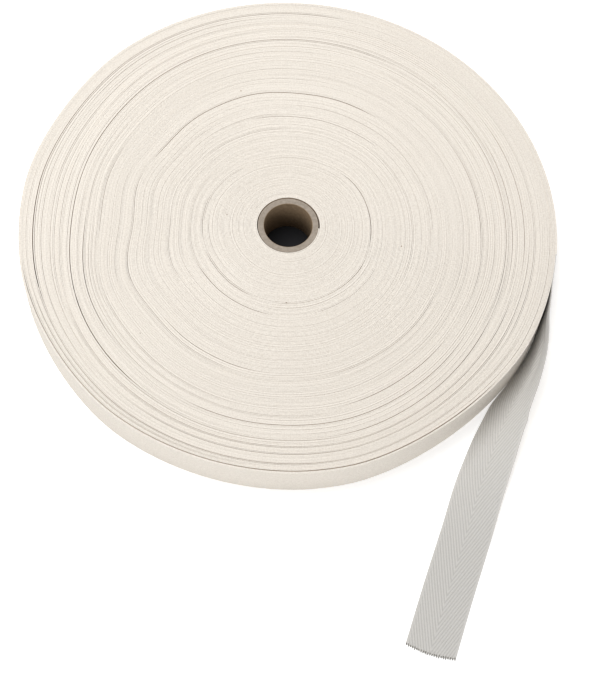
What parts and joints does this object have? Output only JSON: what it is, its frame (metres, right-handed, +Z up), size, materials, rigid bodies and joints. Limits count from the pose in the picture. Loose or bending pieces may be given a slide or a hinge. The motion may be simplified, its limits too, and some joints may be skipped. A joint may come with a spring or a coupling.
{
  "type": "roll of cloth tie tape",
  "caption": "Flat roll of undyed herringbone cotton tape wound on a card tube, lying on its side, its loose end run off the rim and laid flat on the surface.",
  "frame": {"origin": "middle of the whole footprint, on the surface that the roll lies on; the roll's axis is the line x = -0.0004, y = 0.0411", "axes": "+Z up along the roll's axis, +Y from the loose end's cut end towards the roll's far side, +X towards the side where the loose end leaves the rim"},
  "size_m": [0.277, 0.3566, 0.0253],
  "materials": {
    "card": "spiral wound grey-brown card, matt, with fine layers in its end",
    "wound_cloth": "undyed cotton, selvedges of the turns side by side, matt",
    "loose_cloth": "undyed cotton herringbone, one chevron across the width, matt"
  },
  "bodies": {
    "root": {"core_tube": "card", "wound_tape": "wound_cloth", "loose_end": "loose_cloth"}
  },
  "joints": []
}
